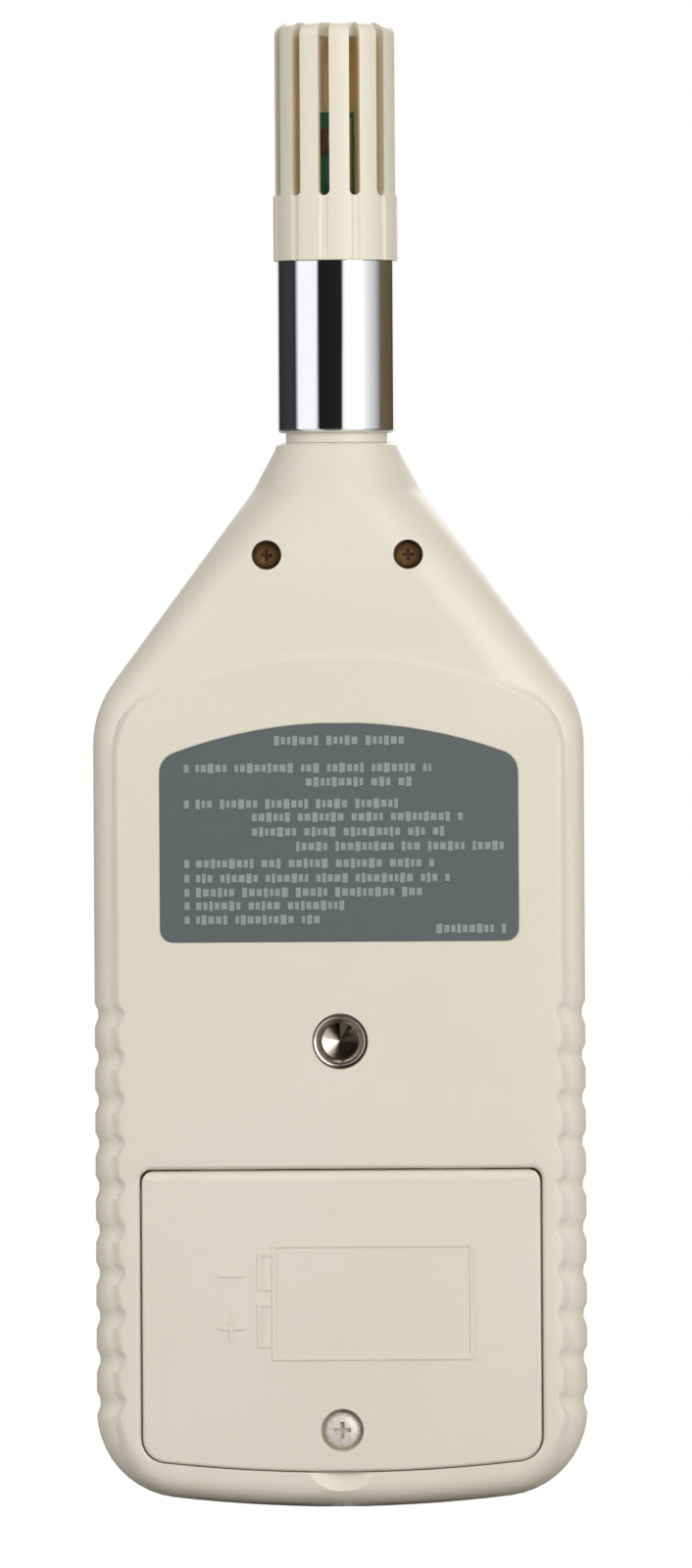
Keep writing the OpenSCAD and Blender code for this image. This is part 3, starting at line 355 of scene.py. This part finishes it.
def box_on(mesh, low, high):
    """Adds a box between two corners."""
    middle = [(a + b) / 2 for a, b in zip(low, high)]
    size = [b - a for a, b in zip(low, high)]
    bmesh.ops.create_cube(
        mesh, size=1, matrix=Matrix.Translation(middle) @ Matrix.Diagonal((*size, 1)))


RECESS_TAPER = 0.62
SAME_PLACE = 0.001 * MM


def cross_on(mesh, x, z, y0, y1, arm, half):
    """Adds a cross along Y that narrows towards y1: a small block with four sides drawn out."""
    block = Matrix.Translation((x, (y0 + y1) / 2, z)) @ Matrix.Diagonal(
        (2 * half, y1 - y0, 2 * half, 1))
    made = bmesh.ops.create_cube(mesh, size=1, matrix=block)
    mesh.normal_update()
    sides = {face for vert in made["verts"] for face in vert.link_faces
             if abs(face.normal.y) < 0.5}
    for side in sides:
        way = side.normal.copy()
        drawn = bmesh.ops.extrude_face_region(mesh, geom=[side])["geom"]
        tips = [item for item in drawn if isinstance(item, bmesh.types.BMVert)]
        bmesh.ops.translate(mesh, verts=tips, vec=way * (arm - half))
    bmesh.ops.delete(mesh, geom=[side for side in sides if side.is_valid], context="FACES_ONLY")
    for vert in mesh.verts:
        in_cross = math.hypot(vert.co.x - x, vert.co.z - z) < 2 * arm
        if in_cross and abs(vert.co.y - y1) < SAME_PLACE:
            vert.co.x = x + (vert.co.x - x) * RECESS_TAPER
            vert.co.z = z + (vert.co.z - z) * RECESS_TAPER


def cut_out(piece, cutter_mesh):
    """Cuts a closed form out of a piece for good, before the piece's own modifiers."""
    data = bpy.data.meshes.new("cutter")
    bmesh.ops.recalc_face_normals(cutter_mesh, faces=cutter_mesh.faces)
    cutter_mesh.to_mesh(data)
    cutter_mesh.free()
    cutter = bpy.data.objects.new("cutter", data)
    scene.collection.objects.link(cutter)
    cut = piece.modifiers.new("cut", "BOOLEAN")
    cut.object = cutter
    cut.solver = "EXACT"
    piece.modifiers.move(len(piece.modifiers) - 1, 0)
    for modifier in piece.modifiers[1:]:
        modifier.show_viewport = False
    bpy.context.view_layer.update()
    seen = piece.evaluated_get(bpy.context.evaluated_depsgraph_get())
    result = bpy.data.meshes.new_from_object(seen)
    piece.modifiers.remove(cut)
    for modifier in piece.modifiers:
        modifier.show_viewport = True
    piece.data = result
    bpy.data.objects.remove(cutter)


def screw_places(node):
    """The one or two middles of a node's screws along X, their height, radius, top and tip."""
    low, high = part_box(node)
    r = (high.z - low.z) / 2
    xs = sorted({round(low.x + r, 6), round(high.x - r, 6)})
    return xs, (low.z + high.z) / 2, r, low.y, high.y


# Pan head as shares of its radius and its height, and a rolled thread: its root as a share of the
# shank, and its flanks as shares of the pitch. The recess goes a little past half the head
PAN_HEAD = [(0.05, 0.0), (0.45, 0.03), (0.74, 0.14), (0.92, 0.36), (0.99, 0.66), (1.0, 0.94),
            (0.97, 1.0)]
THREAD_PITCH = 0.9 * MM
THREAD_ROOT = 0.8
THREAD_START = 0.05 * MM
ROOT_END, CREST_START, CREST_END = 0.35, 0.62, 0.7
TIP_SHARE = 0.15
RECESS_DEPTH = 0.55
SPIN_SEAM = 1e-8


def cross_head_screws(name, node, material, body, shank_share, head_mm, recess_share):
    """Pan-head cross-recessed screws with a rolled thread, which stand for a node."""
    xs, z, r, top, tip = screw_places(node)
    head = head_mm * MM
    shank = shank_share * r
    root = THREAD_ROOT * shank
    mesh = bmesh.new()
    recess = bmesh.new()
    for x in xs:
        rings = [(share * r, top + depth * head) for share, depth in PAN_HEAD]
        y = top + head
        while y + THREAD_PITCH < tip - 2 * shank / 3:
            rings += [(root, y + THREAD_START), (root, y + ROOT_END * THREAD_PITCH),
                      (shank, y + CREST_START * THREAD_PITCH),
                      (shank, y + CREST_END * THREAD_PITCH)]
            y += THREAD_PITCH
        rings += [(root, y), (TIP_SHARE * shank, tip)]
        lathe_y(mesh, x, z, rings)
        arm = recess_share * r
        cross_on(recess, x, z, top - head, top + RECESS_DEPTH * head, arm, arm / 4)
    bmesh.ops.remove_doubles(mesh, verts=mesh.verts, dist=SPIN_SEAM)
    screws = new_piece(name, mesh, material, body)
    cut_out(screws, recess)
    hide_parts(node)


# Quarter-inch tripod insert: turned brass with an entry cone and a 20-to-the-inch thread. Its bore
# ends blind in a drill's cone, and its deep part is painted dark brown as shade
TRIPOD_PITCH = 1.27 * MM
TRIPOD_ROOT = 3.17 * MM
TRIPOD_CREST = 2.58 * MM
TRIPOD_MOUTH = 3.5 * MM
TRIPOD_FLOOR = 1 * MM
RIM_BREAK = (0.1 * MM, 0.12 * MM)
POINT_R = 0.05 * MM
RINGS_IN_A_PITCH = 14
FLANK_TOP, FLANK_SLOPE = 1.2, 2.4
# Depth from which the bore's walls are painted dark as shade
PAINTED_SHADE_FROM = 4 * MM
BLIND_END_SLOPE = math.radians(10.5)


def tripod_insert():
    """The threaded insert, which stands for the plain bush."""
    low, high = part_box("tripod_bush")
    r = (high.x - low.x) / 2
    depth = high.y - low.y - TRIPOD_FLOOR
    step = TRIPOD_PITCH / RINGS_IN_A_PITCH
    in_break, down_break = RIM_BREAK
    profile = [(r, high.y), (r, down_break), (r - in_break, 0.0), (TRIPOD_MOUTH, 0.0)]
    profile += [(TRIPOD_ROOT, i * step) for i in range(1, int(depth / step))]
    blind_end = depth + TRIPOD_CREST * math.tan(BLIND_END_SLOPE)
    profile += [(TRIPOD_CREST, depth), (POINT_R, blind_end)]
    mesh = bmesh.new()
    lathe_y(mesh, 0, 0, profile, steps=96)
    # The plain bore becomes a helix: each point moves in or out by its turn and its depth
    for vert in mesh.verts:
        out = math.hypot(vert.co.x, vert.co.z)
        if step / 2 < vert.co.y < depth - step / 2 and out < TRIPOD_MOUTH:
            turn = math.atan2(vert.co.z, vert.co.x)
            phase = (vert.co.y / TRIPOD_PITCH - turn / (2 * math.pi)) % 1.0
            flank = min(1.0, max(0.0, FLANK_TOP - FLANK_SLOPE * abs(phase - 0.5)))
            thread = TRIPOD_CREST + (TRIPOD_ROOT - TRIPOD_CREST) * flank
            radius = max(thread, TRIPOD_MOUTH - vert.co.y)
            vert.co.x *= radius / out
            vert.co.z *= radius / out
    insert = new_piece("tripod_insert_threaded", mesh, NICKEL, angle=50)
    # Faces deep in the bore take a painted shade, a dull dark brown
    insert.data.materials.append(BORE_PAINTED_SHADE)
    for face in insert.data.polygons:
        from_axis = math.hypot(face.center.x, face.center.z)
        if PAINTED_SHADE_FROM < face.center.y < depth and from_axis < TRIPOD_MOUTH:
            face.material_index = 1
    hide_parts("tripod_bush")


# Print on the label as plain broken bars, in mm from the middle of the tripod bush: height, left
# end, right end, and whether a bullet leads it
LABEL_LINES = [
    (43.4, -9.2, 9.4, False), (39.5, -20.4, 13.2, True), (37.5, -4.7, 10.8, False),
    (34.4, -20.4, 8.7, True), (32.5, -12.4, 17.8, False), (30.4, -12.4, 15.3, False),
    (28.3, -6.1, 23.6, False), (25.9, -20.4, 13.5, True), (23.8, -20.4, 15.9, True),
    (21.8, -20.4, 13.0, True), (19.9, -20.4, 1.9, True), (17.9, -20.4, -2.6, True),
    (16.5, 13.8, 23.7, False),
]
MARK_WIDTHS = (0.75, 0.5, 0.85, 0.6, 0.7)
MARK_GAP = 0.26
SHORTEST_MARK = 0.3
MARK_HEIGHT = 1.3
LOW_MARK, TALL_MARK = 0.8, 1.05
WORD_LENGTHS = (7, 5, 9, 3, 6)
WORD_GAP = 0.9
PRINT_DROP = 0.5
INK_PROUD, INK_ROOT = 0.015, 0.05
BULLET_AT = -21.7
BULLET_HALF, BULLET_HEIGHT = 0.35, 1.1


def label_print():
    """The print on the label, one bar a mark, laid on the film."""
    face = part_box("rating_label")[0].y
    mesh = bmesh.new()

    def mark(x0, x1, z, tall):
        low, high = z - PRINT_DROP - tall / 2, z - PRINT_DROP + tall / 2
        box_on(mesh, (x0 * MM, face - INK_PROUD * MM, low * MM),
               (x1 * MM, face + INK_ROOT * MM, high * MM))

    for row, (z, start, end, bullet) in enumerate(LABEL_LINES):
        if bullet:
            mark(BULLET_AT - BULLET_HALF, BULLET_AT + BULLET_HALF, z, BULLET_HEIGHT)
        x, count, word = start, 0, row
        while x < end - SHORTEST_MARK:
            width = MARK_WIDTHS[(count * 3 + row) % len(MARK_WIDTHS)]
            share = LOW_MARK if (count + row) % 3 else TALL_MARK
            mark(x, min(x + width, end), z, MARK_HEIGHT * share)
            x += width + MARK_GAP
            count += 1
            if count == WORD_LENGTHS[word % len(WORD_LENGTHS)]:
                x, count, word = x + WORD_GAP, 0, word + 1
    new_piece("label_print_bars", mesh, LABEL_INK)


# Seven-bar digits of the display, all bars faint, as when it is off: across and up, in digit
# widths. Each row has its middle as a share of the glass, its digit's width in mm and its count
DIGIT_BARS = [
    ((0.12, 0.0), (0.88, 0.0)), ((0.12, 1.0), (0.88, 1.0)), ((0.12, 2.0), (0.88, 2.0)),
    ((0.0, 0.12), (0.0, 0.88)), ((0.0, 1.12), (0.0, 1.88)), ((1.0, 0.12), (1.0, 0.88)),
    ((1.0, 1.12), (1.0, 1.88)),
]
DIGIT_ROWS = ((0.68, 5.2, 4), (0.24, 3.8, 4))
DIGIT_PITCH = 1.75
BAR_HALF = 0.09
BAR_LIFT = 0.01 * MM


def display_digits():
    """Two rows of digits on the glass of the display."""
    low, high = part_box("lcd_glass")
    mesh = bmesh.new()
    for middle, wide_mm, count in DIGIT_ROWS:
        wide = wide_mm * MM
        half = BAR_HALF * wide
        z0 = low.z + (high.z - low.z) * middle - wide
        for digit in range(count):
            x0 = (digit - (count - 1) / 2) * wide * DIGIT_PITCH - wide / 2
            for (ax, az), (bx, bz) in DIGIT_BARS:
                box_on(mesh, (x0 + ax * wide - half, high.y - BAR_LIFT, z0 + az * wide - half),
                       (x0 + bx * wide + half, high.y + BAR_LIFT, z0 + bz * wide + half))
    new_piece("display_digits_off", mesh, LCD_SEGMENT)


# Gilding of the sensor board, seen through the cap's slots: a pad strip near each side of the
# board, and the comb on the humidity element
PAD_IN, PAD_HALF, PAD_PROUD = 0.6 * MM, 0.18 * MM, 0.02 * MM
PAD_FOOT, PAD_TOP = 1 * MM, 0.8 * MM
COMB_TEETH, COMB_FIRST, COMB_PITCH = 7, 0.9 * MM, 0.3 * MM
TOOTH_HALF, TOOTH_IN = 0.05 * MM, 0.7 * MM
TOOTH_FRONT, TOOTH_BACK = 0.26 * MM, 0.31 * MM


def sensor_pads():
    """The gilding on the sensor board and on its humidity element."""
    low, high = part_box("sensor_board")
    element_low, element_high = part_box("humidity_element")
    mesh = bmesh.new()
    for side in (-1, 1):
        x = side * (high.x - PAD_IN)
        box_on(mesh, (x - PAD_HALF, low.y - PAD_PROUD, low.z + PAD_FOOT),
               (x + PAD_HALF, low.y + PAD_PROUD, high.z - PAD_TOP))
    for i in range(COMB_TEETH):
        z = element_low.z + COMB_FIRST + i * COMB_PITCH
        box_on(mesh, (element_low.x + TOOTH_IN, element_low.y + TOOTH_FRONT, z - TOOTH_HALF),
               (element_high.x - TOOTH_IN, element_low.y + TOOTH_BACK, z + TOOTH_HALF))
    new_piece("sensor_board_gilding", mesh, GOLD_FINGER)


def make_camera():
    """A level camera at the height of the photograph's middle row, turned by its slight roll."""
    data = bpy.data.cameras.new("photo_camera")
    data.sensor_width = SENSOR
    data.lens = SENSOR * (CAMERA_AWAY + AXIS_Y / 2) / (PHOTO_H * PIXEL)
    data.clip_start = 0.05
    data.clip_end = 20
    camera = bpy.data.objects.new("photo_camera", data)
    scene.collection.objects.link(camera)
    height = (BUSH_ROW - EYE_ROW) * PIXEL
    aim = Matrix.Rotation(math.radians(90), 4, "X") @ Matrix.Rotation(CAMERA_ROLL, 4, "Z")
    camera.matrix_world = Matrix.Translation((CAMERA_ASIDE, -CAMERA_AWAY, height)) @ aim
    scene.camera = camera


# Tones of the studio's walls by their turn about the object in degrees, from the camera's side to
# the right: pale softboxes among dark walls, which give bright metal its bands
STUDIO_WALLS = [
    (-180, "#29292B"), (-176, "#29292B"), (-172, "#C8CBD0"), (-158, "#C8CBD0"), (-153, "#29292B"),
    (-100, "#39393B"), (-89, "#2F2F31"), (-79, "#F8F8FA"), (-40, "#F8F8FA"), (-34, "#1B1B1B"),
    (10, "#232120"), (15, "#F8F8FA"), (56, "#F8F8FA"), (86, "#B2B3B4"), (94, "#868684"),
    (99, "#695B47"), (143, "#5A4D3D"), (150, "#23211D"), (154, "#F4F4F6"), (175, "#F4F4F6"),
    (179, "#29292B"),
]
WHITE = colour("#FFFFFF")
MIRRORED_STRENGTH = 1.1
AMBIENT_STRENGTH = 0.375


def studio_tone(tree, place):
    """The walls' tone towards a place, or over a place on the floor."""
    way = add(tree, "SeparateXYZ", {"Vector": place})
    ahead = add(tree, "Math", {0: way.outputs["Y"], 1: -1.0}, operation="MULTIPLY")
    turn = add(tree, "Math", {0: way.outputs["X"], 1: ahead.outputs[0]}, operation="ARCTAN2")
    share = add(tree, "MapRange",
                {"Value": turn.outputs[0], "From Min": -math.pi, "From Max": math.pi})
    return add(tree, "ValToRGB", {"Fac": share.outputs[0]},
               stops=[((turn_deg + 180) / 360, tone) for turn_deg, tone in STUDIO_WALLS]).outputs[0]


def seen_by_eye(tree, path):
    """One for what the camera sees, straight or through glass, and nought for the rest."""
    return add(tree, "Math", {0: path.outputs["Is Camera Ray"],
                              1: path.outputs["Is Transmission Ray"]}, operation="MAXIMUM")


def make_world():
    """White for the eye, the studio for mirror images, and an even light for the rest."""
    world = bpy.data.worlds.new("studio")
    scene.world = world
    world.use_nodes = True
    tree = world.node_tree
    tree.nodes.clear()
    path = add(tree, "LightPath")
    walls = studio_tone(tree, add(tree, "TexCoord").outputs["Generated"])
    mirrored = add(tree, "Background", {"Color": walls, "Strength": MIRRORED_STRENGTH})
    ambient = add(tree, "Background", {"Color": WHITE, "Strength": AMBIENT_STRENGTH})
    white = add(tree, "Background", {"Color": WHITE, "Strength": 1.0})
    inner = add(tree, "MixShader", {0: path.outputs["Is Glossy Ray"], 1: ambient.outputs[0],
                                    2: mirrored.outputs[0]})
    outer = add(tree, "MixShader", {0: seen_by_eye(tree, path).outputs[0], 1: inner.outputs[0],
                                    2: white.outputs[0]})
    add(tree, "OutputWorld", {"Surface": outer.outputs[0]})


LAMP_AIM = Vector((0, AXIS_Y, 0.03))


def make_lamp(name, turn_deg, rise_deg, away, size, watts, mirrored=True):
    """A softbox that looks at the object, by its turn from the camera's side to the right."""
    data = bpy.data.lights.new(name, "AREA")
    data.shape = "RECTANGLE"
    data.size, data.size_y = size
    data.energy = watts
    lamp = bpy.data.objects.new(name, data)
    turn, rise = math.radians(turn_deg), math.radians(rise_deg)
    level = math.cos(rise)
    way = Vector((math.sin(turn) * level, -math.cos(turn) * level, math.sin(rise)))
    lamp.location = LAMP_AIM + away * way
    lamp.rotation_euler = (-way).to_track_quat("-Z", "Y").to_euler()
    lamp.visible_camera = False
    lamp.visible_glossy = mirrored
    scene.collection.objects.link(lamp)


def make_lamps():
    """Softboxes round the object. Only the right and far ones show in its bright metal."""
    make_lamp("softbox_right", turn_deg=37, rise_deg=14, away=0.8, size=(0.52, 0.8), watts=4.2)
    make_lamp("softbox_left", turn_deg=-55, rise_deg=22, away=0.8, size=(0.5, 0.6), watts=2.3,
              mirrored=False)
    make_lamp("softbox_front", turn_deg=5, rise_deg=5, away=1.0, size=(0.7, 0.7), watts=1.8,
              mirrored=False)
    make_lamp("softbox_far_side", turn_deg=175, rise_deg=35, away=1.1, size=(0.9, 0.7), watts=7)


# The floor is grey paper that the eye sees as white, but for a share that holds the object's
# shadow. It gives mirrors the studio's tones as a painted reflection: a glow in the walls' tones
# that glossy rays see
FLOOR_HALF = 12.0
FLOOR_DROP = 0.1 * MM
FLOOR_GLOW = 1.1
FLOOR_WHITE_SHARE = 0.91
FLOOR_GLEAM_SHARE = 0.72


def make_floor():
    """The paper that the meter stands on."""
    floor_mesh = bmesh.new()
    bmesh.ops.create_grid(floor_mesh, x_segments=1, y_segments=1, size=FLOOR_HALF)
    mesh = bpy.data.meshes.new("floor")
    floor_mesh.to_mesh(mesh)
    floor_mesh.free()
    mesh.transform(Matrix.Translation((0, 0, FOOT_Z - FLOOR_DROP)))
    floor = bpy.data.objects.new("floor", mesh)
    scene.collection.objects.link(floor)
    material = bpy.data.materials.new("floor_paper_grey")
    material.use_nodes = True
    tree = material.node_tree
    tree.nodes.clear()
    path = add(tree, "LightPath")
    share = add(tree, "Math", {0: seen_by_eye(tree, path).outputs[0], 1: FLOOR_WHITE_SHARE},
                operation="MULTIPLY")
    paper = add(tree, "BsdfDiffuse", {"Color": colour("#A3A2A0")})
    glow = add(tree, "Emission", {"Color": WHITE, "Strength": FLOOR_GLOW})
    # Painted reflection: a glow in the walls' tones, which only glossy rays see
    walls = studio_tone(tree, add(tree, "TexCoord").outputs["Object"])
    gleam = add(tree, "Emission", {"Color": walls, "Strength": 1.0})
    gleam_share = add(tree, "Math", {0: path.outputs["Is Glossy Ray"], 1: FLOOR_GLEAM_SHARE},
                 operation="MULTIPLY")
    paper_and_gleam = add(tree, "MixShader",
                   {0: gleam_share.outputs[0], 1: paper.outputs[0], 2: gleam.outputs[0]})
    both = add(tree, "MixShader", {0: share.outputs[0], 1: paper_and_gleam.outputs[0],
                                   2: glow.outputs[0]})
    add(tree, "OutputMaterial", {"Surface": both.outputs[0]})
    floor.data.materials.append(material)


make_camera()
make_world()
make_lamps()
make_floor()
dress_cad_nodes()
tripod_insert()
cross_head_screws("door_screw_cross_head", "door_screw", SCREW_ZINC, "door_screw",
                  shank_share=0.53, head_mm=1.7, recess_share=0.62)
cross_head_screws("upper_screws_cross_head", "upper_case_screws", SCREW_BROWN,
                  "housing", shank_share=0.58, head_mm=2.0, recess_share=0.58)
cross_head_screws("lower_screws_cross_head", "lower_case_screws", SCREW_BROWN,
                  "housing", shank_share=0.58, head_mm=2.0, recess_share=0.58)
label_print()
display_digits()
sensor_pads()
